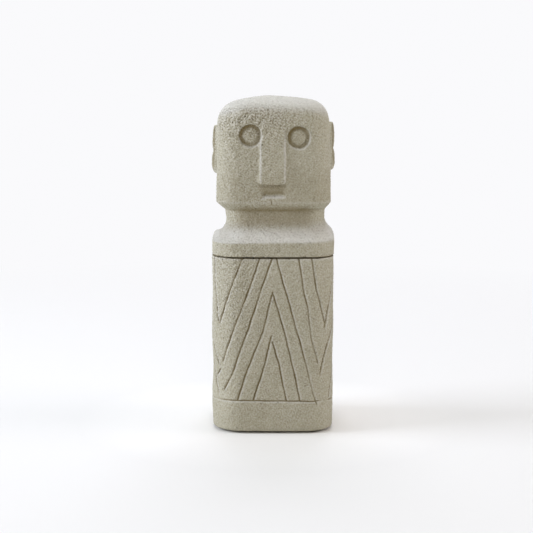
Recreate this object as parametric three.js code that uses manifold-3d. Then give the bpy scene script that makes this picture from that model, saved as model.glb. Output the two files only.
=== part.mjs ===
// A small carved limestone figure. Its head and shoulders are a lid that lifts off a hollow
// square body, and four felt pads keep the stone off the table.
// Millimetres, +Z up. The origin is on the table under the middle of the figure, which faces -Y.

import * as THREE from 'three';
import { mergeVertices } from 'three/addons/utils/BufferGeometryUtils.js';
import Module from 'manifold-3d';

const wasm = await Module();
wasm.setup();

// Driving dimensions
const height = 150;                    // table to crown
const width = 55;                      // square block, side to side and front to back
const wall = 10.5;                     // stone left around the hollow
const padThickness = 1;
const seamGap = 0.5;                   // open line between lid and body
const grooveRadius = 0.5;              // every knife-cut line

// Levels
const seam = 0.531 * height;
const bodyTop = seam - seamGap / 2;
const lidBottom = seam + seamGap / 2;
const shoulder = lidBottom + 6.2;      // top of the upright shoulder band
const neckFoot = shoulder + 8;
const neckTop = neckFoot + 6;
const chin = neckTop + 3;
const crownFoot = height - 11;
const border = 0.098 * height;         // level line that closes the pattern below
const floor = 22;                      // floor of the hollow

// Half widths
const half = width / 2;
const bodyHalf = half - 0.2;
const neckHalf = 21.9;
const headHalf = 25.4;
const hollowHalf = half - wall;
const spigotHalf = hollowHalf - 0.6;
const earReach = 28;                   // middle plane to the outside of an ear

// Details
const cornerRatio = 0.44;              // corner radius of the plan over its half width
const cornerSteps = 6;
const hollowCorner = 6;
const footChamfer = 1.6;
const spigotDepth = 7;
const padRadius = 6;
const padInset = 16;
const faceLean = 1.6;                  // how far the chin lies behind the brow
const nose = { width: 11.6, foot: 112.6, front: 26.2 };
const eye = { x: 10.8, z: 133.6, radius: 4.1, groove: 0.65 };
const mouth = { width: 10, foot: 107.8, rise: 1.9, depth: 0.9 };
const earLobes = [
  { z: 132, radius: 6, hollow: 3.6 },
  { z: 121, radius: 5, hollow: 2.6 },
];
const earHollow = 1.2;                 // depth of the hollow cut into each lobe

// Right-hand legs of the nested chevrons on one side, from x, z to x, z. The left is their mirror.
const chevronLegs = [
  [15.5, bodyTop + 1, 23.2, 51],
  [8.6, bodyTop + 1, 22, 31],
  [0.8, bodyTop + 1, 21.3, border],
  [0, 64.5, 14.5, border],
  [0, 44.5, 7.5, border],
];

function toSolid(geometry) {
  const bare = geometry.index ? geometry.clone() : mergeVertices(geometry.clone());
  bare.deleteAttribute('normal');
  bare.deleteAttribute('uv');
  const merged = mergeVertices(bare, 1e-4);
  return new wasm.Manifold(new wasm.Mesh({
    numProp: 3,
    vertProperties: new Float32Array(merged.attributes.position.array),
    triVerts: new Uint32Array(merged.index.array),
  }));
}

function toGeometry(solid) {
  const mesh = solid.getMesh();
  const geometry = new THREE.BufferGeometry();
  geometry.setAttribute('position', new THREE.BufferAttribute(mesh.vertProperties, 3));
  geometry.setIndex(new THREE.BufferAttribute(mesh.triVerts, 1));
  geometry.computeVertexNormals();
  return geometry;
}

// Corner-rounded square of half width 1, anticlockwise, cornerSteps + 1 points to a corner.
function planPoint(index) {
  const perCorner = cornerSteps + 1;
  const quarter = Math.floor(index / perCorner) % 4;
  const turn = (quarter + (index % perCorner) / cornerSteps) * Math.PI / 2;
  const middle = (quarter + 0.5) * Math.PI / 2;
  const reach = (1 - cornerRatio) * Math.SQRT2;
  return new THREE.Vector2(
    reach * Math.cos(middle) + cornerRatio * Math.cos(turn),
    reach * Math.sin(middle) + cornerRatio * Math.sin(turn),
  );
}

// A turned shape whose circles are pressed into corner-rounded squares: each profile point is
// a half width and a height.
function squareTurned(profile) {
  const sides = 4 * (cornerSteps + 1);
  const geometry = new THREE.LatheGeometry(profile, sides);
  const position = geometry.attributes.position;
  for (let i = 0; i < position.count; i++) {
    const level = profile[i % profile.length];
    const plan = planPoint(Math.floor(i / profile.length));
    position.setXYZ(i, level.x * plan.x, level.x * plan.y, level.y);
  }
  return toSolid(geometry);
}

function block(centre, size) {
  return toSolid(new THREE.BoxGeometry(...size).translate(...centre));
}

// Upright prism on a square plan with round corners.
function prism(halfWidth, corner, low, high) {
  const inner = halfWidth - corner;
  const plan = new THREE.Shape();
  for (let quarter = 0; quarter < 4; quarter++) {
    const middle = (quarter + 0.5) * Math.PI / 2;
    const x = inner * Math.SQRT2 * Math.cos(middle);
    const y = inner * Math.SQRT2 * Math.sin(middle);
    plan.absarc(x, y, corner, quarter * Math.PI / 2, (quarter + 1) * Math.PI / 2);
  }
  const options = { depth: high - low, bevelEnabled: false, curveSegments: cornerSteps };
  return toSolid(new THREE.ExtrudeGeometry(plan, options).translate(0, 0, low));
}

// Distance of the body's outside from the middle plane, at x across one side.
function sideDepth(x) {
  const corner = cornerRatio * bodyHalf;
  const past = Math.max(0, Math.abs(x) - (bodyHalf - corner));
  return bodyHalf - corner + Math.sqrt(corner ** 2 - past ** 2);
}

// One knife-cut line on the front, which follows the round corner as it nears the edge.
function chevronCutter([fromX, fromZ, toX, toZ], mirror) {
  const steps = 5;
  const points = [];
  for (let i = 0; i <= steps; i++) {
    const x = mirror * THREE.MathUtils.lerp(fromX, toX, i / steps);
    const z = THREE.MathUtils.lerp(fromZ, toZ, i / steps);
    points.push(new THREE.Vector3(x, -sideDepth(x), z));
  }
  const blade = new THREE.Shape();
  blade.absarc(0, 0, grooveRadius, 0, 2 * Math.PI);
  return new THREE.ExtrudeGeometry(blade, {
    steps,
    curveSegments: 6,
    extrudePath: new THREE.CatmullRomCurve3(points),
  });
}

function cutChevrons(solid) {
  let cut = solid;
  for (let quarter = 0; quarter < 4; quarter++) {
    for (const leg of chevronLegs) {
      for (const mirror of [-1, 1]) {
        const cutter = chevronCutter(leg, mirror).rotateZ(quarter * Math.PI / 2);
        cut = cut.subtract(toSolid(cutter));
      }
    }
  }
  return cut;
}

// Closed diamond ring that cuts a level line round the block.
function levelCutter(halfWidth, z) {
  const profile = [[grooveRadius, 0], [0, grooveRadius], [-grooveRadius, 0], [0, -grooveRadius]];
  const ring = profile.map(([out, up]) => new THREE.Vector2(halfWidth + out, z + up));
  return squareTurned([...ring, ring[0]]);
}

function bodyBlock() {
  const outside = squareTurned([
    new THREE.Vector2(0, padThickness),
    new THREE.Vector2(bodyHalf - footChamfer, padThickness),
    new THREE.Vector2(bodyHalf, padThickness + footChamfer),
    new THREE.Vector2(bodyHalf, bodyTop),
    new THREE.Vector2(0, bodyTop),
  ]);
  const hollow = prism(hollowHalf, hollowCorner, floor, bodyTop + 1);
  return cutChevrons(outside.subtract(hollow).subtract(levelCutter(bodyHalf, border)));
}

// Band, shoulder slope, neck, undercut chin, upright head and domed crown.
function lidProfile() {
  const path = new THREE.Path();
  path.moveTo(0, lidBottom);
  path.lineTo(half, lidBottom);
  path.lineTo(half, shoulder);
  path.lineTo(half - 2.9, shoulder + 4.2);
  path.quadraticCurveTo(neckHalf, neckFoot, neckHalf, neckFoot + 2.5);
  path.lineTo(neckHalf, neckTop);
  path.lineTo(headHalf, chin);
  path.lineTo(headHalf, crownFoot);
  path.bezierCurveTo(headHalf, height - 4, headHalf - 3.5, height - 1, headHalf - 10, height - 0.6);
  path.quadraticCurveTo(headHalf - 17, height, 0, height);
  return path.getPoints(6);
}

// Wedge that leans the face back below the brow.
function faceCutter() {
  const tall = crownFoot - chin + 6;
  const deep = 10;
  const lean = Math.atan2(faceLean, crownFoot - chin);
  const wedge = new THREE.BoxGeometry(2 * width, deep, tall);
  wedge.translate(0, -deep / 2, -tall / 2);
  wedge.rotateX(lean);
  return toSolid(wedge.translate(0, -headHalf, crownFoot));
}

// How far the leaning face is from the middle plane at a height.
function faceDepth(z) {
  return headHalf - faceLean * (crownFoot - z) / (crownFoot - chin);
}

function noseBlock() {
  const tall = crownFoot + 2 - nose.foot;
  const deep = 6;
  const middle = [0, -nose.front + deep / 2, nose.foot + tall / 2];
  return block(middle, [nose.width, deep, tall]);
}

function eyeCutter(side) {
  const ring = new THREE.TorusGeometry(eye.radius, eye.groove, 8, 24).rotateX(Math.PI / 2);
  return toSolid(ring.translate(side * eye.x, -faceDepth(eye.z), eye.z));
}

function mouthCutter() {
  const middle = [0, -faceDepth(mouth.foot), mouth.foot + mouth.rise / 2];
  return block(middle, [mouth.width, 2 * mouth.depth, mouth.rise]);
}

// Disc that lies against the side of the head, its axis along X.
function sideDisc(side, z, radius, inner, outer) {
  const disc = new THREE.CylinderGeometry(radius, radius, outer - inner, 24);
  disc.rotateZ(Math.PI / 2);
  return toSolid(disc.translate(side * (inner + outer) / 2, 0, z));
}

// Upright web between the two lobes, or between their hollows.
function earWeb(side, thickness, inner, outer) {
  const [upper, lower] = earLobes;
  const middle = [side * (inner + outer) / 2, 0, (upper.z + lower.z) / 2];
  return block(middle, [outer - inner, thickness, upper.z - lower.z]);
}

// Two round lobes with a waist between them and one shallow hollow that runs through both.
function ear(side) {
  const root = headHalf - 2;
  const bed = earReach - earHollow;
  const [upper, lower] = earLobes;
  let solid = earWeb(side, 1.5 * lower.radius, root, earReach);
  for (const lobe of earLobes) {
    solid = solid.add(sideDisc(side, lobe.z, lobe.radius, root, earReach));
  }
  for (const lobe of earLobes) {
    solid = solid.subtract(sideDisc(side, lobe.z, lobe.hollow, bed, earReach + 1));
  }
  return solid.subtract(earWeb(side, upper.hollow, bed, earReach + 1));
}

function headLid() {
  let solid = squareTurned(lidProfile()).subtract(faceCutter()).add(noseBlock());
  for (const side of [-1, 1]) {
    solid = solid.subtract(eyeCutter(side)).add(ear(side));
  }
  const spigot = prism(spigotHalf, hollowCorner, lidBottom - spigotDepth, lidBottom + 1);
  return solid.subtract(mouthCutter()).add(spigot);
}

function feltPad(sideX, sideY) {
  const pad = new THREE.CylinderGeometry(padRadius, padRadius, padThickness, 24);
  pad.rotateX(Math.PI / 2);
  return pad.translate(sideX * padInset, sideY * padInset, padThickness / 2);
}

function part(name, geometry, color, roughness) {
  const material = new THREE.MeshStandardMaterial({ color, roughness, metalness: 0 });
  const mesh = new THREE.Mesh(geometry, material);
  mesh.name = name;
  return mesh;
}

const limestone = 0xb0aa98;
const felt = 0x3a3834;

const figure = new THREE.Group();
figure.add(part('body_block', toGeometry(bodyBlock()), limestone, 0.92));
figure.add(part('head_lid', toGeometry(headLid()), limestone, 0.92));
for (const [row, sideY] of [['front', -1], ['back', 1]]) {
  for (const [hand, sideX] of [['left', -1], ['right', 1]]) {
    figure.add(part(`felt_pad_${row}_${hand}`, feltPad(sideX, sideY), felt, 1));
  }
}

export default figure;
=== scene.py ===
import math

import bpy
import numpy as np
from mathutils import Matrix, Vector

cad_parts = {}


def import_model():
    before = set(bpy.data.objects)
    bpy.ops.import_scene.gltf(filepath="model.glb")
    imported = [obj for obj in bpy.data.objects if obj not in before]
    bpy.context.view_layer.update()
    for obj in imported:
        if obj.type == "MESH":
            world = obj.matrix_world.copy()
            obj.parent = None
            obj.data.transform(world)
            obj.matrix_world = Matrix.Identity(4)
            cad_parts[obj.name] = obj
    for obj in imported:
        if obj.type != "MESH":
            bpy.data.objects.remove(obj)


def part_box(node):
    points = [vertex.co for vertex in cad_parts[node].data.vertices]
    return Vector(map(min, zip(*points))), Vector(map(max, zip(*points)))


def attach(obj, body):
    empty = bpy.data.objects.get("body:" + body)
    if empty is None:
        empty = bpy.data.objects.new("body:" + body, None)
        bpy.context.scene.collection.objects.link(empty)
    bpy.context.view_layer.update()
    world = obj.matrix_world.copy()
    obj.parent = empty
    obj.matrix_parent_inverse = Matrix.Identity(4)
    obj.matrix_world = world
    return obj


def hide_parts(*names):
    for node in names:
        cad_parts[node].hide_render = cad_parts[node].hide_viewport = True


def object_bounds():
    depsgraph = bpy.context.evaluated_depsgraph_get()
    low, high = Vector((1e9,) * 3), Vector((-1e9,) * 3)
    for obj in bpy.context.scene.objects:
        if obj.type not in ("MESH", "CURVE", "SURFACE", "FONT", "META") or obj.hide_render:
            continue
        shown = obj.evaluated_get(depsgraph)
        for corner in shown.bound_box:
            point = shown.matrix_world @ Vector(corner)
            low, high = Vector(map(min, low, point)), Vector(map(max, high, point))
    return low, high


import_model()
cad_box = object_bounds()

# Looks of a small hand-carved limestone figure whose head and shoulders lift off a hollow body.
# Each stone is a fine closed mesh: a path of stations is swept round a corner-rounded square, then
# carved by moving its points along the surface. Lengths are millimetres until a mesh is written.

# ---------------------------------------------------------------- sizes, worked out from the frame

cad_low, cad_high = cad_box
HEIGHT = 150.0
MM = (cad_high.z - cad_low.z) / HEIGHT           # metres in one of this script's millimetres
body_low, body_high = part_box("body_block")
lid_low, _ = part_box("head_lid")
FOOT = body_low.z / MM                           # underside of the stone, on top of the pads
RIM = body_high.z / MM                           # top of the body
SEAM_GAP = 0.5
LID = RIM + SEAM_GAP                             # underside of the lid's shoulder band
SPIGOT = lid_low.z / MM                          # underside of the spigot
HALF = body_high.x / MM                          # half width of the body
BORDER = 15.0                                    # level line that closes the pattern below

HOLLOW_HALF = 17.0
HOLLOW_FLOOR = 22.0
HOLLOW_TAPER = 0.4                               # how much narrower each way the hollow's floor is
SPIGOT_CLEARANCE = 0.6
SPIGOT_HALF = HOLLOW_HALF - SPIGOT_CLEARANCE

SHOULDER = 86.5                                  # height of the shoulder edge
SHOULDER_TILT = 0.016                            # it rises a little to the right
SLOPE_FOOT = SHOULDER - 1.0                      # the slope above it starts to show here
NECK = 94.7                                      # where the neck is narrowest
FACE_FOOT = 103.3
BROW = 140.5
NOSE_FOOT = 112.4
NOSE_FRONT = 26.3                                # how far the nose reaches in front of the axis
EYE_RADIUS = 4.2
EYES = [(-9.9, 133.6, 3), (11.4, 132.7, 4)]      # across, up, and how many flats the ring has
EARS = [(-1, 136.6), (1, 138.0)]                 # side, and height of the top
LIP = 106.7                                      # height of the ledge under the mouth
CHIN_NICK = [(-0.6, 105.5), (-0.4, 102.6)]       # from (across, up) to (across, up)
NICK_DEPTH = 0.4

COLUMNS = 760                                    # points round a stone
FINE = 0.29                                      # spacing of rows on a wall that shows
COARSE = 1.0
STONE_FACES = 190000                             # triangles kept in each stone

# Corner radius over half width: front right, back right, back left, front left
BODY_CORNERS = (0.42, 0.38, 0.38, 0.48)
HEAD_CORNERS = (0.36, 0.34, 0.34, 0.40)
HOLLOW_CORNERS = (0.353,) * 4

PAST_CORNERS = 1.45                              # half widths from the axis, just beyond any corner

# A station is (values, rounding, spacing of the rows after it). Its values are its height, its half
# widths to the left, right, front and back, and the plan it follows. 1.5 is halfway between two plans.
HOLLOW_PLAN, BODY_PLAN, HEAD_PLAN = 0.0, 1.0, 2.0

BODY_BOW = 0.45                                  # how far the middle of a side stands out
HEAD_BOW = 0.35

SEAM_SHADE_WIDTH = 2.0                                  # width of the strip of painted shade beside the seam
CORNER_DROP = 0.25                               # how far the lid sinks towards the seam at its corners


# ---------------------------------------------------------------- plan, path and surface


def plan_ring(ratios):
    """Corner-rounded square of half width 1, anticlockwise from the middle of the front."""
    points = []
    per_quarter = COLUMNS // 4
    for quarter, ratio in enumerate(ratios):
        flat = 1 - ratio
        length = 2 * flat + math.pi / 2 * ratio
        turn = quarter * math.pi / 2
        spin = np.array([[math.cos(turn), -math.sin(turn)], [math.sin(turn), math.cos(turn)]])
        for i in range(per_quarter):
            run = length * i / per_quarter
            angle = min(max(run - flat, 0) / ratio, math.pi / 2)
            before = min(run, flat)
            after = max(run - flat - math.pi / 2 * ratio, 0)
            x = before + ratio * math.sin(angle)
            y = -1 + ratio * (1 - math.cos(angle)) + after
            points.append(spin @ np.array([x, y]))
    return np.array(points)


def around_ring(ratios, half):
    """Distance round from the middle of the front to each column, negative at the left, and the
    length of each quarter."""
    per_quarter = COLUMNS // 4
    lengths = [half * (2 * (1 - ratio) + math.pi / 2 * ratio) for ratio in ratios]
    runs = []
    start = 0.0
    for length in lengths:
        runs.append(start + length * np.arange(per_quarter) / per_quarter)
        start += length
    run = np.concatenate(runs)
    middle = lengths[0] + lengths[1]
    return np.where(run > middle, run - start, run), lengths


def walk(stations):
    """Rows of values along a path of stations, rounded at each station but the first and last."""
    values = [np.array(station[0], float) for station in stations]

    def length(a, b):
        return math.hypot(np.mean(b[1:5] - a[1:5]), b[0] - a[0])

    rows = [values[0]]
    for k in range(1, len(stations)):
        before, here, spacing = rows[-1], values[k], stations[k - 1][2]
        rounding = stations[k][1]
        last = k == len(stations) - 1
        span = length(before, here)
        stop = here if last or not rounding else here + (before - here) * min(1, rounding / span)
        count = max(1, round(length(before, stop) / spacing))
        rows += [before + (stop - before) * i / count for i in range(1, count + 1)]
        if not last and rounding:
            onward = values[k + 1]
            leave = here + (onward - here) * min(0.5, rounding / length(here, onward))
            turns = max(4, round(2 * rounding / FINE))
            for i in range(1, turns + 1):
                t = i / turns
                rows.append((1 - t) ** 2 * stop + 2 * t * (1 - t) * here + t ** 2 * leave)
    return np.array(rows)


RINGS = np.stack([plan_ring(HOLLOW_CORNERS), plan_ring(BODY_CORNERS), plan_ring(HEAD_CORNERS)])


def sweep(rows, bow):
    """Grid of points: every row's plan, stretched to its half widths, with sides that bow out."""
    grid = np.empty((len(rows), COLUMNS, 3))
    for i, (z, left, right, front, back, plan) in enumerate(rows):
        low = min(int(plan), 1)
        ring = RINGS[low] * (low + 1 - plan) + RINGS[low + 1] * (plan - low)
        x, y = ring[:, 0], ring[:, 1]
        side = np.where(x < 0, left, right)
        face = np.where(y < 0, front, back)
        grid[i, :, 0] = x * (side - bow * y ** 2)
        grid[i, :, 1] = y * (face - bow * x ** 2)
        grid[i, :, 2] = z
    return grid


def normals_of(grid):
    across = np.roll(grid, -1, axis=1) - np.roll(grid, 1, axis=1)
    along = np.gradient(grid, axis=0)
    normal = np.cross(across, along)
    size = np.linalg.norm(normal, axis=2, keepdims=True)
    return normal / np.maximum(size, 1e-9)


def ripple(points, wavelength, seed, count=28):
    """Smooth seeded noise with a spread of about 1, from plane waves in random directions."""
    random = np.random.default_rng(seed)
    total = np.zeros(points.shape[:-1])
    for _ in range(count):
        direction = random.normal(size=3)
        direction *= 2 * math.pi / wavelength * random.uniform(0.7, 1.3) / np.linalg.norm(direction)
        total += np.cos(points @ direction + random.uniform(0, 2 * math.pi))
    return total * math.sqrt(2 / count)


def ease(low, high, value):
    """Smooth step: 0 up to `low` and 1 from `high` on. It falls where `high` is the smaller."""
    t = np.clip((value - low) / (high - low), 0, 1)
    return t * t * (3 - 2 * t)


def near(value, middle, reach):
    """1 at `middle`, fading out over about `reach` to both sides."""
    return np.exp(-((value - middle) / reach) ** 2)


def distance_to_line(u, v, line):
    """Distance from each (u, v) to a polyline, and how far from its two ends the nearest point is."""
    ends = np.array(line, float)
    lengths = np.linalg.norm(np.diff(ends, axis=0), axis=1)
    best = np.full(u.shape, 1e9)
    run = np.zeros(u.shape)
    start = 0.0
    for a, b, length in zip(ends[:-1], ends[1:], lengths):
        t = ((u - a[0]) * (b[0] - a[0]) + (v - a[1]) * (b[1] - a[1])) / length ** 2
        t = np.clip(t, 0, 1)
        away = np.hypot(u - a[0] - t * (b[0] - a[0]), v - a[1] - t * (b[1] - a[1]))
        closer = away < best
        best = np.where(closer, away, best)
        run = np.where(closer, start + t * length, run)
        start += length
    return best, run, start - run


def knife_cut(u, v, line, width, depth, fades):
    """Depth of a V-shaped cut along a polyline, which runs out over a short way at each end."""
    away, from_start, from_end = distance_to_line(u, v, line)
    ends = ease(-0.01, fades[0], from_start) * ease(-0.01, fades[1], from_end)
    return depth * ends * np.clip(1 - away / (width / 2), 0, 1)


# ---------------------------------------------------------------- the pattern on the body

CUT_WIDTH = 1.1
CUT_DEPTH = 0.7
CUT_FADE = 0.8                                   # length over which a cut runs out at its top
LONG_FADE = 2.0                                  # and at a foot that stops above the border
BORDER_WIDTH = 1.0
BORDER_DEPTH = 0.65
DIRTY_DEPTH = 0.55                               # a cut is full of dirt from this depth on

# Lines on the front and round its two corners: (distance round from the middle, height)
FRONT_LINES = [
    [(-13.3, 80), (-19.3, 65.6), (-25.6, 48.8)],
    [(-5.7, 80), (-11.3, 63.9), (-17.9, 47.1), (-24.1, 31.1)],
    [(-0.1, 80), (-5.3, 65.2), (-11.3, 47.1), (-19.1, 26), (-23.5, 18.4)],
    [(0.1, 65.0), (-4.3, 47.1), (-9.3, 34.6), (-13.0, 25.2), (-16.2, 14.9)],
    [(-0.5, 45.2), (-3.5, 32.8), (-5.9, 24.4), (-9.1, 14.5)],
    [(-0.4, 42.4), (2.8, 32.4), (4.5, 22.7), (6.5, 14.3)],
    [(0.1, 63.8), (5.1, 47.1), (9.0, 31.1), (11.1, 21.8), (12.5, 14.3)],
    [(1.5, 80), (4.8, 68.2), (10.8, 47.1), (14.9, 32.4), (17.4, 21.8), (20.4, 12.6)],
    [(11.6, 80), (13.7, 65.6), (15.6, 57.6), (17.7, 41.8), (20.9, 31.1)],
    [(17.4, 80), (19.4, 66), (22.4, 56), (24.0, 49)],
    [(33.0, 80), (30.0, 68), (26.3, 57), (23.4, 46.5)],
    [(40.0, 80), (31.0, 50), (26.6, 42), (23.4, 33.5), (21.6, 25)],
    [(-29.5, 80), (-29.2, 67), (-26.8, 53), (-25.7, 49)],
    [(-38.0, 80), (-31.0, 41), (-26.4, 30)],
    [(-25.1, 29), (-28.4, 25)],
]

# A short stray cut near the right foot of the front's pattern
TICK = [(14.3, 21.9), (16.2, 22.1)]

# Right-hand legs of the chevrons on a side: (distance from the side's middle, height), twice
SIDE_LEGS = [
    [(15.5, 80), (24.0, 51)],
    [(8.6, 80), (23.0, 31)],
    [(0.8, 80), (21.8, 15.4)],
    [(0.0, 64.5), (14.8, 15.4)],
    [(0.0, 44.5), (7.6, 15.4)],
]
LEGS_CUT_FROM_THE_FRONT = 2                      # the two outer legs beside the front's corners


def side_lines(middle, facing, random):
    """Freehand chevrons on one of the other three sides, whose middle is at `middle` round the body."""
    lines = []
    for hand in (-1, 1):
        skip = LEGS_CUT_FROM_THE_FRONT if facing == hand else 0
        for (x0, z0), (x1, z1) in SIDE_LEGS[skip:]:
            top = middle + hand * (x0 + random.uniform(-0.6, 0.6))
            foot = middle + hand * (x1 + random.uniform(-0.9, 0.9))
            bend = hand * random.uniform(-0.3, 0.7)
            end = z1 + random.uniform(-0.5, 1.5)
            lines.append([(top, z0), ((top + foot) / 2 + bend, (z0 + end) / 2), (foot, end)])
    return lines


def pattern_lines(lengths):
    """All the pattern, with each line's distances round the body from the middle of the front."""
    random = np.random.default_rng(5)
    right, back, left = lengths[0], lengths[0] + lengths[1], -lengths[3]
    lines = list(FRONT_LINES)
    lines += side_lines(right, -1, random)
    lines += side_lines(left, 1, random)
    for line in side_lines(back, 0, random):
        lines.append(line)
        lines.append([(x - sum(lengths), z) for x, z in line])
    return lines


def border_height(around):
    """The freehand level line: a little higher at the left and at the back."""
    return BORDER + 0.5 * ease(4, -26, around) + 0.5 * np.cos(around / 16) - 0.5


# ---------------------------------------------------------------- the two stones


def uneven(points, seed):
    """Slow swells left by carving a face by hand."""
    return 0.12 * ripple(points, 30, seed) + 0.025 * ripple(points, 12, seed + 1)


def sandy(points, rough, seed, pitted=0.0):
    """Height of the sandy grain with its pits. `rough` scales it."""
    sand = 0.07 * ripple(points, 1.0, seed, count=60)
    pits = np.clip(ripple(points, 1.1, seed + 1, count=60) - 1.0 + pitted, 0, 1.2)
    return rough * sand - (0.1 + 0.2 * pitted) * pits


def chips(points, near_edge, depth, seed):
    """Small losses along an edge."""
    grit = ripple(points, 2.6, seed) + 0.6 * ripple(points, 1.1, seed + 1)
    return near_edge * (0.05 + depth * np.clip(grit - 1.15, 0, 1.2))


def outside_of(grid, half):
    """True for points beyond the corners of a corner-rounded square of half width `half`."""
    return np.hypot(grid[..., 0], grid[..., 1]) > half * PAST_CORNERS


def ring_reach(grid):
    """Half width of the corner-rounded square that passes through each point."""
    x, y = np.abs(grid[..., 0]), np.abs(grid[..., 1])
    return (x ** 6 + y ** 6) ** (1 / 6)


def body_grid():
    out = HALF
    stations = [
        ((FOOT, 1, 1, 1, 1, BODY_PLAN), 0, COARSE),
        ((FOOT, out - 0.8, out - 0.6, out - 0.5, out - 1.0, BODY_PLAN), 0.25, 0.3),
        ((FOOT + 0.9, out - 0.2, out, out, out - 0.1, BODY_PLAN), 0.5, FINE),
        ((BORDER, out - 0.1, out, out, out, BODY_PLAN), 0, FINE),
        ((40, out - 0.1, out + 0.1, out, out, BODY_PLAN), 0, FINE),
        ((RIM, out - 0.1, out + 0.2, out, out, BODY_PLAN), 0.45, 0.5),
        ((RIM, *(HOLLOW_HALF,) * 4, HOLLOW_PLAN), 0.5, COARSE),
        ((HOLLOW_FLOOR, *(HOLLOW_HALF - HOLLOW_TAPER,) * 4, HOLLOW_PLAN), 1.5, COARSE),
        ((HOLLOW_FLOOR, 1, 1, 1, 1, HOLLOW_PLAN), 0, COARSE),
    ]
    return sweep(walk(stations), BODY_BOW)


def body_cuts(grid, around, lengths, on_wall):
    """Depths of all the cuts in the body's walls and, apart, of the level line."""
    z = grid[..., 2]
    wander = 0.07 * ripple(grid, 7, seed=31)
    near_corner = 0.4 * ease(22, 26, np.abs(around))
    strength = 1 + 0.15 * ripple(grid, 9, seed=32) + near_corner - 0.3 * near(around, 17, 4)
    cut = np.zeros(z.shape)
    for line in pattern_lines(lengths):
        foot_fade = CUT_FADE if line[-1][1] < BORDER + 1 else LONG_FADE
        fades = (CUT_FADE, foot_fade)
        cut = np.maximum(cut, knife_cut(around + wander, z, line, CUT_WIDTH, CUT_DEPTH, fades))
    level = np.clip(1 - np.abs(z - border_height(around) + wander) / (BORDER_WIDTH / 2), 0, 1)
    level = BORDER_DEPTH * level * (1 - near(around, 24.5, 3.0)) * (1 - 0.6 * near(around, -28, 6))
    cut = np.maximum(cut * np.clip(strength, 0.6, 1.5), level) * on_wall
    tick = knife_cut(around, z, TICK, 0.8, 0.5, (0.3, 0.3)) * on_wall
    return np.maximum(cut, tick), level


def carve_body(grid):
    """For each point of the body: its move outwards, its stain with painted shade beside the seam, its
    wear with painted highlights beside the cuts, its grain, and how rough it is.
    """
    around, lengths = around_ring(BODY_CORNERS, HALF)
    around = np.broadcast_to(around, grid.shape[:2])
    z = grid[..., 2]
    outside = outside_of(grid, HOLLOW_HALF)
    on_wall = outside & ((z < RIM - 0.2) | (ring_reach(grid) > HALF - 0.7))
    # The body's outer strip along the seam, which is given painted shade
    in_seam_shade = outside & (ring_reach(grid) > HALF - SEAM_SHADE_WIDTH)
    cut, level = body_cuts(grid, around, lengths, on_wall)
    edge = near(z, RIM, 0.7) * outside + 0.3 * near(z, FOOT + 0.8, 1.0) * outside
    sawn = 0.85 * near(z, RIM, 0.25) + 0.75 * ease(FOOT + 2.5, FOOT + 0.5, z)
    flatness = (1 - sawn) * np.where(outside, 1.0, 0.8)
    move = uneven(grid, seed=40) * flatness
    # Painted highlight on the lit lip of a cut, a row below it and 3 columns on, and on the level
    # line's lip, 2 rows below it; it joins the wear along the rim
    lit_lip_highlight = np.roll(cut, (-1, 3), axis=(0, 1)) + np.roll(level, -2, axis=0) * on_wall
    wear_and_highlight = np.maximum(near(z, RIM - 0.5, 0.4) * outside, 1.5 * (lit_lip_highlight - 1.5 * cut))
    # Dirt in the cuts, and painted shade on the strip beside the seam
    stain_and_shade = np.maximum(cut / DIRTY_DEPTH, 0.8 * near(z, RIM, 0.3) * in_seam_shade)
    rough = 0.8 + 0.6 * ease(5, -20, grid[..., 0]) * ease(10, 75, z)
    grain = sandy(grid, rough, seed=45) * flatness
    return move + grain - cut - chips(grid, edge, 0.45, seed=50), stain_and_shade, wear_and_highlight, grain, rough


def head_grid():
    band = (HALF, HALF + 0.3, HALF + 0.2, HALF + 0.2)
    stations = [
        ((SPIGOT, 1, 1, 1, 1, HOLLOW_PLAN), 0, COARSE),
        ((SPIGOT, *(SPIGOT_HALF,) * 4, HOLLOW_PLAN), 0.8, 0.6),
        ((LID, *(SPIGOT_HALF,) * 4, HOLLOW_PLAN), 0.4, 0.5),
        ((LID, *band, BODY_PLAN), 0.35, FINE),
        ((SHOULDER, 27.1, 27.8, 27.5, 27.6, BODY_PLAN), 0.35, FINE),
        ((87.8, 23.4, 26.7, 25.5, 26.0, BODY_PLAN), 0.7, FINE),
        ((90.6, 21.6, 24.7, 23.3, 24.0, 1.1), 1.5, FINE),
        ((NECK, 20.4, 23.1, 21.8, 22.6, 1.4), 2.0, FINE),
        ((100.0, 21.2, 23.4, 21.2, 22.0, 1.7), 0.5, FINE),
        ((FACE_FOOT, 25.2, 26.2, 23.9, 25.2, HEAD_PLAN), 0.5, FINE),
        ((125.0, 24.8, 25.8, 24.8, 25.4, HEAD_PLAN), 8, FINE),
        ((140.0, 24.3, 25.2, 25.5, 24.8, HEAD_PLAN), 3, FINE),
        ((144.3, 22.5, 23.9, 25.3, 22.8, HEAD_PLAN), 2.2, FINE),
        ((147.1, 18.0, 20.5, 23.4, 18.4, 1.9), 2.4, FINE),
        ((148.8, 10.6, 13.4, 17.8, 10.0, 1.6), 3, FINE),
        ((149.8, 4, 5, 8, 3, 1.6), 2, 0.5),
        ((150.0, 1, 1, 1, 1, 1.6), 0, 0.5),
    ]
    grid = sweep(walk(stations), HEAD_BOW)
    grid[..., 2] += SHOULDER_TILT * grid[..., 0] * near(grid[..., 2], SHOULDER, 3.5)
    corner = ease(0.55, 0.77, np.abs(grid[..., 0] * grid[..., 1]) / HALF ** 2)
    grid[..., 2] -= CORNER_DROP * corner * near(grid[..., 2], LID, 0.6)
    return grid


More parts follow.
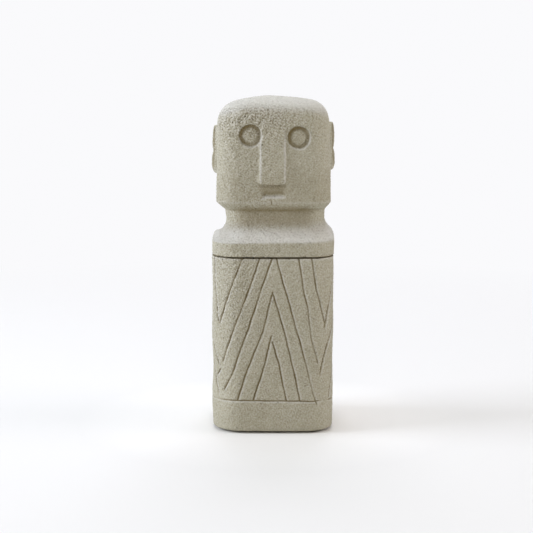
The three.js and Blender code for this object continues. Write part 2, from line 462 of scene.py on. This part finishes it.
def nose(x, y, z):
    """How far the straight nose stands out of the leaning face."""
    half = 5.15 + 0.5 * ease(BROW, NOSE_FOOT, z)
    spread = 0.9 + 0.6 * ease(118, 113, z)
    left_flank = ease(-half - spread, -half + 0.2, x - 0.1)
    right_flank = ease(half + 0.35, half - 0.2, x - 0.1)
    across = left_flank * right_flank
    foot = NOSE_FOOT - 0.6 * (1 - (x / 6) ** 2)
    stands = ease(foot - 0.3, foot + 0.1, z)
    height = np.clip(NOSE_FRONT + y, 0, 4) * ease(BROW + 1, BROW - 8, z)
    return across * stands * height


def eye_ring(x, z, middle, up, flats):
    """Depth of the ring cut round a domed eye, the dirt in it with painted shade deepest at its upper
    left, and a painted highlight on its lower right rim.
    """
    angle = np.arctan2(z - up, x - middle)
    radius = EYE_RADIUS * (1 + 0.02 * np.cos(flats * angle + flats))
    out = np.hypot(x - middle, z - up) - radius
    groove = ease(-1.35, -0.2, out) * ease(1.1, 0.4, out)
    dome = 0.5 * ease(-0.2, -1, out) * ease(-4.5, -1, out)
    # Painted shade: the ring is darker towards its upper left
    upper_left_shade = 0.76 + 0.24 * np.cos(angle - 2.4)
    dirt_and_shade = upper_left_shade * ease(-1.5, -0.2, out) * ease(0.9, 0.4, out) + 0.28 * ease(-0.2, -1.5, out)
    # Painted highlight on the lower right of the ring's outer rim
    rim = 1.3 * near(out, 1.1, 0.35) * np.clip(0.3 + np.cos(angle + 1.0), 0, 1)
    return 1.3 * groove + dome, dirt_and_shade, rim


def lip(x):
    """Height of the ledge under the mouth, which droops at the left."""
    return LIP - 0.9 * ease(-2.5, -5.5, x)


def mouth(x, z):
    """Depth of the mouth: it slopes in from under the nose down to a ledge that faces up."""
    slope = ease(110.5, lip(x) + 0.7, z) ** 1.2 * ease(lip(x) - 0.6, lip(x) + 0.4, z)
    return 1.2 * slope * ease(6.2, 3.6, np.abs(x - 0.3))


def ear(y, z, top):
    """Height of an ear and the dirt and painted shade in it: an egg-shaped rim, highest at the back,
    round a hollow.
    """
    up = z - top
    along = np.clip((up + 10.8) / 10.9, -1, 1)
    half = (5.2 + 0.7 * along) * (1 - along ** 4) ** 0.5 - 0.7 * near(up, -12.6, 1.8)
    inside = half - np.abs(y - 0.3)
    back = ease(-3.5, 2.5, y)
    swell = np.maximum(1 - np.abs((up + 6.3) / 7.3) ** 3, 1 - np.abs((up + 16.4) / 5.4) ** 3)
    rim = (1.1 + 1.5 * back) * (0.5 + 0.5 * np.clip(swell, 0, 1)) * ease(3.3, 2.0, inside)
    # Dirt and painted shade in the hollow, darkest on the wall of the high back rim
    dirt_and_shade = ease(1.4, 2.4, inside) * (0.3 + 0.7 * back * ease(3.8, 2.6, inside))
    return ease(-0.3, 0.5, inside) * np.maximum(rim, 0.5), dirt_and_shade


def carve_face(x, y, z, face):
    """Move outwards of the eyes, nose and mouth and of the nick in the chin, the dirt of the eye rings
    and of the nick with painted shade in the rings, and the rings' painted highlight.
    """
    cut, stain_and_shade, wear_and_highlight = np.zeros((3, *z.shape))
    for middle, up, flats in EYES:
        depth, dirt_and_shade, rim = eye_ring(x, z, middle, up, flats)
        cut = np.maximum(cut, depth * face)
        stain_and_shade = np.maximum(stain_and_shade, dirt_and_shade * face)
        # The rims' painted highlight
        wear_and_highlight = np.maximum(wear_and_highlight, rim * face)
    nick = knife_cut(x, z, CHIN_NICK, 0.7, NICK_DEPTH, (1.5, 0.3))
    stain_and_shade = np.maximum(stain_and_shade, nick / NICK_DEPTH * face)
    return nose(x, y, z) * face - cut - (nick + mouth(x, z)) * face, stain_and_shade, wear_and_highlight


def carve_ears(x, y, z, move, stain_and_shade):
    """Adds the ears, with dirt and painted shade in their hollows, to what the head's move and stain
    are without them.
    """
    for hand, top in EARS:
        beside = (x * hand > 15) & (z > 108) & (z < 142)
        rise, dirt_and_shade = ear(y, z, top)
        move = move + rise * beside
        stain_and_shade = np.maximum(stain_and_shade, 0.5 * dirt_and_shade * beside)
    return move, stain_and_shade


def head_painted_shade(grid, face, front, stain_and_shade):
    """Adds painted shade: under the nose, in the mouth, on the neck and in the crease under the chin,
    on the lower face, a little more to the right, on the left slope of the shoulders and in the seam.
    """
    x, y, z = grid[..., 0], grid[..., 1], grid[..., 2]
    middle = front * ease(23, 12, np.abs(x - 1))
    # Painted shade, all of it: under the nose, on the neck, in the crease under the chin, on the lower
    # face and on the left slope
    under_nose_shade = ease(NOSE_FOOT - 5, NOSE_FOOT - 1.2, z) * ease(NOSE_FOOT, NOSE_FOOT - 0.5, z)
    neck_shade = ease(90, 94.5, z) * ease(FACE_FOOT, 101, z) * middle
    # Painted shade in the crease under the chin
    under_chin = near(z, 100.2, 0.7) * front
    low_face_shade = ease(132, 112, z) * ease(101, 104, z) * ease(-9, -18, y)
    left_slope_shade = ease(-12, -22, x) * ease(SLOPE_FOOT, 88, z) * ease(97, 91, z)
    # Painted shade along the lid's lower edge, in the seam
    seam_shade = near(z, LID, 0.3) * (ring_reach(grid) > HALF - SEAM_SHADE_WIDTH)
    stain_and_shade = stain_and_shade + 0.36 * under_nose_shade * ease(7, 4, np.abs(x)) * face
    stain_and_shade = stain_and_shade + 0.4 * mouth(x, z) * ease(lip(x) + 0.5, lip(x) + 1.0, z) * face
    stain_and_shade = stain_and_shade + (0.55 * neck_shade + 0.3 * under_chin)
    stain_and_shade = stain_and_shade + (0.28 + 0.05 * ease(-5, 15, x)) * low_face_shade
    return stain_and_shade + 0.38 * left_slope_shade + 0.8 * seam_shade


def lip_ledge_highlight(x, z):
    """Painted highlight on the ledge under the mouth, which faces up."""
    return 2.0 * near(z, lip(x) - 0.5, 0.5) * ease(6, 4.2, np.abs(x - 0.3))


def head_wear_and_highlights(x, z, face, front, wear_and_highlight):
    """Adds light lines on the nose's arrises and the shoulder and chin edges, partly wear and partly
    painted highlight, the painted highlight of the lip's ledge and a painted lighter front on the slope
    of the shoulders, to the eye rims' painted highlight.
    """
    # The nose's arrises, partly worn and partly painted highlight
    arris = near(np.abs(x - 0.1), 5.3, 0.38) * ease(NOSE_FOOT, NOSE_FOOT + 1, z) * ease(138, 130, z)
    # Painted highlight: the slope of the shoulders is lighter, most at the front
    slope_top = 99 - 6 * front
    slope = (0.2 + 1.3 * front) * ease(SLOPE_FOOT, 88, z) * ease(slope_top, slope_top - 5, z)
    wear_and_highlight = np.maximum(wear_and_highlight, np.maximum(1.5 * arris, lip_ledge_highlight(x, z)) * face)
    # Shoulder and chin edges, partly worn and partly painted highlight
    wear_and_highlight = np.maximum(wear_and_highlight, near(z, SHOULDER + 0.3, 0.7))
    wear_and_highlight = np.maximum(wear_and_highlight, 0.5 * near(z, FACE_FOOT + 0.5, 0.5))
    return np.maximum(wear_and_highlight, slope)


def head_roughness(x, z):
    """The grain is coarse above the left eye and fine on the right cheek and over the crown."""
    rough = 0.75 + 1.0 * near(z, 141, 8) * ease(22, 0, x) + 0.35 * ease(10, -10, x)
    return rough * (1 - 0.5 * ease(144.5, 147.5, z))


def carve_head(grid):
    """For each point of the lid: its move outwards, its stain with painted shade, its wear with painted
    highlights, its grain, and how rough it is.
    """
    x, y, z = grid[..., 0], grid[..., 1], grid[..., 2]
    face = (y < -15) & (z > 100) & (z < 149)
    front = ease(-6, -17, y)
    move, stain_and_shade, wear_and_highlight = carve_face(x, y, z, face)
    move, stain_and_shade = carve_ears(x, y, z, move, stain_and_shade)
    # No painted shade on the ledge under the mouth, which has a painted highlight
    stain_and_shade = head_painted_shade(grid, face, front, stain_and_shade) * (1 - np.clip(lip_ledge_highlight(x, z), 0, 1) * face)
    wear_and_highlight = head_wear_and_highlights(x, z, face, front, wear_and_highlight)
    outside = outside_of(grid, SPIGOT_HALF)
    edges = near(z, LID, 0.7) * outside + 0.6 * near(z, SHOULDER, 0.9) + 0.5 * near(z, FACE_FOOT, 0.9)
    flatness = (1 - 0.85 * near(z, LID, 0.25)) * np.where(z < LID - 0.5, 0.3, 1.0)
    pitted = 0.5 * near(x, -8.8, 2.4) * near(z, 141.3, 1.2) * face
    rough = head_roughness(x, z)
    grain = sandy(grid, rough, seed=65, pitted=pitted) * flatness
    move = move + uneven(grid, seed=60) * flatness + grain
    under_chin = near(x, 15, 4) * near(z, 99.6, 1.6) * (y < -10)
    move = move - 0.7 * under_chin - chips(grid, edges, 0.3, seed=70)
    return move, stain_and_shade, wear_and_highlight, grain, rough


# ---------------------------------------------------------------- meshes


def closed_mesh(name, grid, attributes):
    """Mesh of a swept grid, closed by a fan to the middle of its first and of its last row."""
    rows, columns = grid.shape[:2]
    points = np.concatenate([grid.reshape(-1, 3), grid[:1].mean(1), grid[-1:].mean(1)])
    this = np.arange(columns)
    onward = np.roll(this, -1)
    starts = np.arange(rows - 1)[:, None] * columns
    quads = np.stack([starts + this, starts + onward, starts + columns + onward,
                      starts + columns + this], axis=-1).reshape(-1, 4)
    low_fan = np.stack([np.full(columns, rows * columns), onward, this], axis=-1)
    top = (rows - 1) * columns
    high_fan = np.stack([np.full(columns, rows * columns + 1), top + this, top + onward], axis=-1)
    fans = np.concatenate([low_fan, high_fan])
    mesh = bpy.data.meshes.new(name)
    mesh.vertices.add(len(points))
    mesh.vertices.foreach_set("co", (points * MM).astype(np.float32).ravel())
    mesh.loops.add(quads.size + fans.size)
    mesh.loops.foreach_set("vertex_index", np.concatenate([quads.ravel(), fans.ravel()]))
    sizes = np.concatenate([np.full(len(quads), 4), np.full(len(fans), 3)])
    mesh.polygons.add(len(sizes))
    mesh.polygons.foreach_set("loop_start", np.cumsum(sizes) - sizes)
    mesh.update(calc_edges=True)
    for key, values in attributes.items():
        layer = mesh.attributes.new(key, "FLOAT", "POINT")
        flat = np.concatenate([values.ravel(), values[0, :1], values[-1, :1]])
        layer.data.foreach_set("value", flat.astype(np.float32))
    return mesh


def thinned(obj, faces):
    """Replaces the object's mesh by one of about `faces` triangles, finest where it bends most."""
    triangles = sum(len(polygon.vertices) - 2 for polygon in obj.data.polygons)
    modifier = obj.modifiers.new("thin", "DECIMATE")
    modifier.ratio = min(1.0, faces / triangles)
    modifier.use_collapse_triangulate = True
    evaluated = obj.evaluated_get(bpy.context.evaluated_depsgraph_get())
    mesh = bpy.data.meshes.new_from_object(evaluated)
    obj.modifiers.clear()
    old = obj.data
    obj.data = mesh
    bpy.data.meshes.remove(old)
    mesh.name = obj.name
    mesh.polygons.foreach_set("use_smooth", [True] * len(mesh.polygons))


def stone(name, grid, carve, top_light_and_dust, material):
    """A carved stone. One argument sets how much lighter and greyer what faces up is made: dust, and
    painted top light.
    """
    normals = normals_of(grid)
    move, stain_and_shade, wear_and_highlight, grain, rough = carve(grid)
    looks = {
        # Dirt, and painted shade
        "stain_and_shade": np.clip(stain_and_shade, 0, 1),
        # Wear, and painted highlights
        "wear_and_highlight": np.clip(wear_and_highlight, 0, 1.6),
        "grain": grain,
        "rough": rough,
        # Lighter, greyer on what faces up: dust, and painted top light
        "dust_and_top_light": top_light_and_dust * ease(0.0, 0.65, normals[..., 2]),
    }
    mesh = closed_mesh(name, grid + normals * move[..., None], looks)
    obj = bpy.data.objects.new(name, mesh)
    bpy.context.scene.collection.objects.link(obj)
    thinned(obj, STONE_FACES)
    obj.data.materials.append(material)
    return obj


def felt_disc(name, node, material):
    """Die-cut felt disc with a soft, slightly uneven edge, in the place of its CAD node."""
    low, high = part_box(node)
    middle = ((low + high) / 2) / MM
    radius = (high.x - low.x) / 2 / MM
    thick = (high.z - low.z) / MM
    profile = [(0.3, 0), (0.6, 0), (0.93, 0), (0.985, 0.12), (1, 0.35), (1, 0.65),
               (0.985, 0.88), (0.93, 1), (0.6, 1), (0.3, 1)]
    turn = np.linspace(0, 2 * math.pi, 96, endpoint=False)
    grid = np.empty((len(profile), len(turn), 3))
    for i, (out, up) in enumerate(profile):
        grid[i, :, 0] = out * radius * np.cos(turn)
        grid[i, :, 1] = out * radius * np.sin(turn)
        grid[i, :, 2] = up * thick
    edge = np.array([out > 0.9 for out, _ in profile])[:, None]
    fuzz = 0.05 * ripple(grid, 1.3, seed=90) * edge
    grid[..., :2] *= (1 - np.abs(fuzz)[..., None] / radius)
    grid += np.array([middle.x, middle.y, low.z / MM])
    obj = bpy.data.objects.new(name, closed_mesh(name, grid, {}))
    bpy.context.scene.collection.objects.link(obj)
    obj.data.polygons.foreach_set("use_smooth", [True] * len(obj.data.polygons))
    obj.data.materials.append(material)
    return obj


# ---------------------------------------------------------------- materials


class Nodes:
    """Short calls for building one material's node tree."""

    def __init__(self, name):
        self.material = bpy.data.materials.new(name)
        self.material.use_nodes = True
        self.tree = self.material.node_tree
        self.shader = self.tree.nodes["Principled BSDF"]
        self.place = self.add("ShaderNodeTexCoord").outputs["Object"]

    def add(self, kind, **settings):
        node = self.tree.nodes.new(kind)
        for key, value in settings.items():
            setattr(node, key, value)
        return node

    def link(self, value, socket):
        if isinstance(value, bpy.types.NodeSocket):
            self.tree.links.new(value, socket)
        else:
            socket.default_value = value

    def noise(self, size, detail=2.0, roughness=0.5, distortion=0.0):
        """Noise whose features are `size` millimetres across."""
        node = self.add("ShaderNodeTexNoise")
        self.link(self.place, node.inputs["Vector"])
        node.inputs["Scale"].default_value = 1 / (size * MM)
        node.inputs["Detail"].default_value = detail
        node.inputs["Roughness"].default_value = roughness
        node.inputs["Distortion"].default_value = distortion
        return node.outputs["Fac"]

    def cells(self, size):
        """Distance to the middle of the nearest of cells `size` millimetres across."""
        node = self.add("ShaderNodeTexVoronoi")
        self.link(self.place, node.inputs["Vector"])
        node.inputs["Scale"].default_value = 1 / (size * MM)
        return node.outputs["Distance"]

    def attribute(self, name):
        return self.add("ShaderNodeAttribute", attribute_name=name).outputs["Fac"]

    def spread(self, value, low, high, to_low=0.0, to_high=1.0):
        """Maps `low` to `to_low` and `high` to `to_high`, and stays level beyond them."""
        node = self.add("ShaderNodeMapRange")
        for socket, number in zip(node.inputs[:5], (value, low, high, to_low, to_high)):
            self.link(number, socket)
        return node.outputs["Result"]

    def math(self, operation, first, second):
        node = self.add("ShaderNodeMath", operation=operation)
        self.link(first, node.inputs[0])
        self.link(second, node.inputs[1])
        return node.outputs["Value"]

    def mix(self, amount, first, second):
        """Colour between two colours. A Mix node's colour sockets have no names of their own."""
        node = self.add("ShaderNodeMix", data_type="RGBA")
        self.link(amount, node.inputs["Factor"])
        self.link(first, node.inputs[6])
        self.link(second, node.inputs[7])
        return node.outputs[2]

    def bump(self, height, depth, below=None):
        """Bump of `depth` millimetres, on top of the bump `below`."""
        node = self.add("ShaderNodeBump")
        self.link(height, node.inputs["Height"])
        node.inputs["Distance"].default_value = depth * MM
        if below is not None:
            self.link(below, node.inputs["Normal"])
        return node.outputs["Normal"]


# Colours of the stone
BED_DARK = (0.40, 0.375, 0.275, 1)
BED_LIGHT = (0.43, 0.405, 0.305, 1)
CLAY = (0.36, 0.325, 0.235, 1)
LIGHT_GRAIN = (0.60, 0.58, 0.51, 1)
DARK_GRAIN = (0.22, 0.19, 0.13, 1)
SPECK = (0.20, 0.17, 0.115, 1)
DUST_AND_TOP_LIGHT = (0.49, 0.475, 0.44, 1)
RUBBED_AND_LIT = (0.58, 0.565, 0.51, 1)
GRAIN_TOP_HIGHLIGHT = (0.64, 0.62, 0.55, 1)
GRAIN_PIT_SHADE = (0.19, 0.16, 0.10, 1)
DIRT_AND_SHADE = (0.17, 0.125, 0.045, 1)


def stone_colour(n, grain, speck):
    """Beds and clay clouds, then grains and specks, then dust with painted top light, wear with painted
    highlights, the painted light and shade of the carved grain, and dirt with painted shade.
    """
    relief, rough = n.attribute("grain"), n.attribute("rough")
    cloud = n.noise(22, 3, 0.55)
    mottle = n.noise(4.5, 2, 0.5, 0.4)
    light_grain = n.math("MULTIPLY", n.spread(grain, 0.5, 0.75, 0.0, 0.6), rough)
    dark_grain = n.math("MULTIPLY", n.spread(grain, 0.5, 0.25, 0.0, 0.6), rough)
    colour = n.mix(n.spread(cloud, 0.35, 0.65), BED_DARK, BED_LIGHT)
    colour = n.mix(n.spread(mottle, 0.45, 0.7, 0, 0.15), colour, CLAY)
    colour = n.mix(light_grain, colour, LIGHT_GRAIN)
    colour = n.mix(dark_grain, colour, DARK_GRAIN)
    colour = n.mix(n.spread(speck, 0.68, 0.78, 0, 0.4), colour, SPECK)
    # Dust, and painted top light, on what faces up
    colour = n.mix(n.math("MULTIPLY", n.attribute("dust_and_top_light"), 0.75), colour, DUST_AND_TOP_LIGHT)
    # Lighter where rubbed, and painted highlights on lit lips, rims, ledges and edges
    colour = n.mix(n.math("MULTIPLY", n.attribute("wear_and_highlight"), 0.6), colour, RUBBED_AND_LIT)
    # Painted light and shade of the sandy relief: lighter on its tops, darker in its pits
    colour = n.mix(n.spread(relief, 0.0, 0.22, 0, 0.55), colour, GRAIN_TOP_HIGHLIGHT)
    colour = n.mix(n.spread(relief, 0.0, -0.27, 0, 0.6), colour, GRAIN_PIT_SHADE)
    # Dirt in cuts, and painted shade in recesses, under the nose and chin and in the seam, browner and
    # darker
    return n.mix(n.spread(n.attribute("stain_and_shade"), 0.2, 1.0, 0, 0.9), colour, DIRT_AND_SHADE)


def limestone():
    n = Nodes("carved_limestone")
    grain = n.noise(0.55, 2, 0.6)
    speck = n.noise(0.8, 1, 0.5)
    n.link(stone_colour(n, grain, speck), n.shader.inputs["Base Color"])
    n.link(n.spread(grain, 0.3, 0.7, 0.86, 0.98), n.shader.inputs["Roughness"])
    n.shader.inputs["Specular IOR Level"].default_value = 0.25
    sand = n.math("ADD", n.math("MULTIPLY", grain, 0.6), n.math("MULTIPLY", n.cells(0.8), 0.5))
    pitted = n.bump(n.spread(speck, 0.60, 0.78, 1, 0), 0.22)
    n.link(n.bump(sand, 0.27, pitted), n.shader.inputs["Normal"])
    return n.material


def wool_felt():
    n = Nodes("wool_felt")
    fibre = n.noise(0.35, 3, 0.7, 1.5)
    tuft = n.noise(1.8, 2, 0.5)
    black, soft_black = (0.020, 0.019, 0.018, 1), (0.040, 0.038, 0.036, 1)
    loose_fibre = (0.085, 0.082, 0.078, 1)
    colour = n.mix(n.spread(tuft, 0.35, 0.65), black, soft_black)
    colour = n.mix(n.spread(fibre, 0.5, 0.8, 0, 0.6), colour, loose_fibre)
    n.link(colour, n.shader.inputs["Base Color"])
    n.link(n.spread(fibre, 0.3, 0.7, 0.88, 1.0), n.shader.inputs["Roughness"])
    n.shader.inputs["Sheen Weight"].default_value = 0.4
    n.link(n.bump(fibre, 0.12), n.shader.inputs["Normal"])
    return n.material


# ---------------------------------------------------------------- floor, light and camera

BACKGROUND = (0.955, 0.955, 0.972)
FLOOR_LIT_NEAR = (0.82, 0.805, 0.77, 1)
FLOOR_SHADED_FAR = (0.685, 0.675, 0.65, 1)
FLOOR_RADIUS = 4                                 # metres, as are the two distances below
FLOOR_TONES = (0.025, 0.09)                      # where the painted lighter tone near the figure ends and the painted darker far one begins
FLOOR_FADE = (0.05, 0.5)                         # where the floor's painted glow runs it into the background

CAMERA_PLACE = (-2.7, -730.5, 182)
CAMERA_DOWN = 8.58                               # degrees below level
CAMERA_LENS = 108.7


def floor():
    """Pale floor, painted lighter near the figure against its shadow and darker further out, which
    glows into the colour of the background far from the figure, a painted light that also fades the
    figure's shadow.
    """
    n = Nodes("pale_floor")
    n.shader.inputs["Roughness"].default_value = 0.9
    length = n.add("ShaderNodeVectorMath", operation="LENGTH")
    n.link(n.place, length.inputs[0])
    away = length.outputs["Value"]
    # Painted light near the figure and painted shade further out
    n.link(n.mix(n.spread(away, *FLOOR_TONES), FLOOR_LIT_NEAR, FLOOR_SHADED_FAR), n.shader.inputs["Base Color"])
    painted_glow = n.add("ShaderNodeEmission")
    painted_glow.inputs["Color"].default_value = (*BACKGROUND, 1)
    blend = n.add("ShaderNodeMixShader")
    n.link(n.spread(away, *FLOOR_FADE), blend.inputs[0])
    n.link(n.shader.outputs[0], blend.inputs[1])
    n.link(painted_glow.outputs[0], blend.inputs[2])
    n.link(blend.outputs[0], n.tree.nodes["Material Output"].inputs["Surface"])
    bpy.ops.mesh.primitive_circle_add(vertices=96, radius=FLOOR_RADIUS, fill_type="NGON")
    obj = bpy.context.object
    obj.name = "floor"
    obj.data.materials.append(n.material)


def world():
    """Soft light from everywhere, seen by the camera as the plain background."""
    sky = bpy.data.worlds.new("studio")
    bpy.context.scene.world = sky
    sky.use_nodes = True
    tree = sky.node_tree
    light = tree.nodes["Background"]
    light.inputs["Color"].default_value = (1.0, 0.97, 0.88, 1)
    light.inputs["Strength"].default_value = 0.255
    seen = tree.nodes.new("ShaderNodeBackground")
    seen.inputs["Color"].default_value = (*BACKGROUND, 1)
    path = tree.nodes.new("ShaderNodeLightPath")
    blend = tree.nodes.new("ShaderNodeMixShader")
    tree.links.new(path.outputs["Is Camera Ray"], blend.inputs[0])
    tree.links.new(light.outputs[0], blend.inputs[1])
    tree.links.new(seen.outputs[0], blend.inputs[2])
    tree.links.new(blend.outputs[0], tree.nodes["World Output"].inputs["Surface"])


def softbox(name, place, aim, size, power, colour):
    """Square light in heights of the figure, at `place` and aimed at `aim`."""
    light = bpy.data.lights.new(name, "AREA")
    light.shape = "SQUARE"
    light.size = size * HEIGHT * MM
    light.energy = power
    light.color = colour
    obj = bpy.data.objects.new(name, light)
    bpy.context.scene.collection.objects.link(obj)
    from_point = np.array(place) * HEIGHT * MM
    to_point = np.array(aim) * HEIGHT * MM
    obj.location = from_point
    direction = Vector(to_point - from_point)
    obj.rotation_euler = direction.to_track_quat("-Z", "Y").to_euler()


def lights():
    aim = (0, 0, 0.5)
    softbox("overhead", (0, 0.3, 6.0), aim, 4.0, 3.6, (0.92, 0.99, 1.0))
    softbox("left_window", (-6.0, -0.6, 3.0), aim, 3.5, 9.5, (0.81, 0.86, 1.0))
    softbox("right_wall", (6.0, -0.5, 3.5), aim, 3.5, 3.6, (1.0, 0.93, 0.98))
    softbox("behind", (0, 5.0, 5.0), aim, 4.0, 4.8, (0.84, 0.85, 1.0))
    softbox("front_fill", (0, -6.0, 4.0), aim, 3.0, 1.9, (1.0, 0.93, 0.92))


def camera():
    """Eye a little above the crown and just left of the middle, looking slightly down."""
    data = bpy.data.cameras.new("camera")
    data.sensor_width = 36
    data.lens = CAMERA_LENS
    obj = bpy.data.objects.new("camera", data)
    bpy.context.scene.collection.objects.link(obj)
    obj.location = [distance * MM for distance in CAMERA_PLACE]
    obj.rotation_euler = (math.radians(90 - CAMERA_DOWN), 0, 0)
    data.clip_start = 0.01
    data.clip_end = 20
    bpy.context.scene.camera = obj


# ---------------------------------------------------------------- the figure

stone_material = limestone()
felt_material = wool_felt()

stone_body = stone("stone_body", body_grid(), carve_body, top_light_and_dust=0.3, material=stone_material)
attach(stone_body, "body")
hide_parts("body_block")

stone_head = stone("stone_head", head_grid(), carve_head, top_light_and_dust=1.0, material=stone_material)
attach(stone_head, "lid")
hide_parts("head_lid")

for row in ("front", "back"):
    for hand in ("left", "right"):
        disc = felt_disc(f"felt_disc_{row}_{hand}", f"felt_pad_{row}_{hand}", felt_material)
        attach(disc, "body")
        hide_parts(f"felt_pad_{row}_{hand}")

floor()
world()
lights()
camera()
bpy.context.scene.view_settings.view_transform = "Standard"
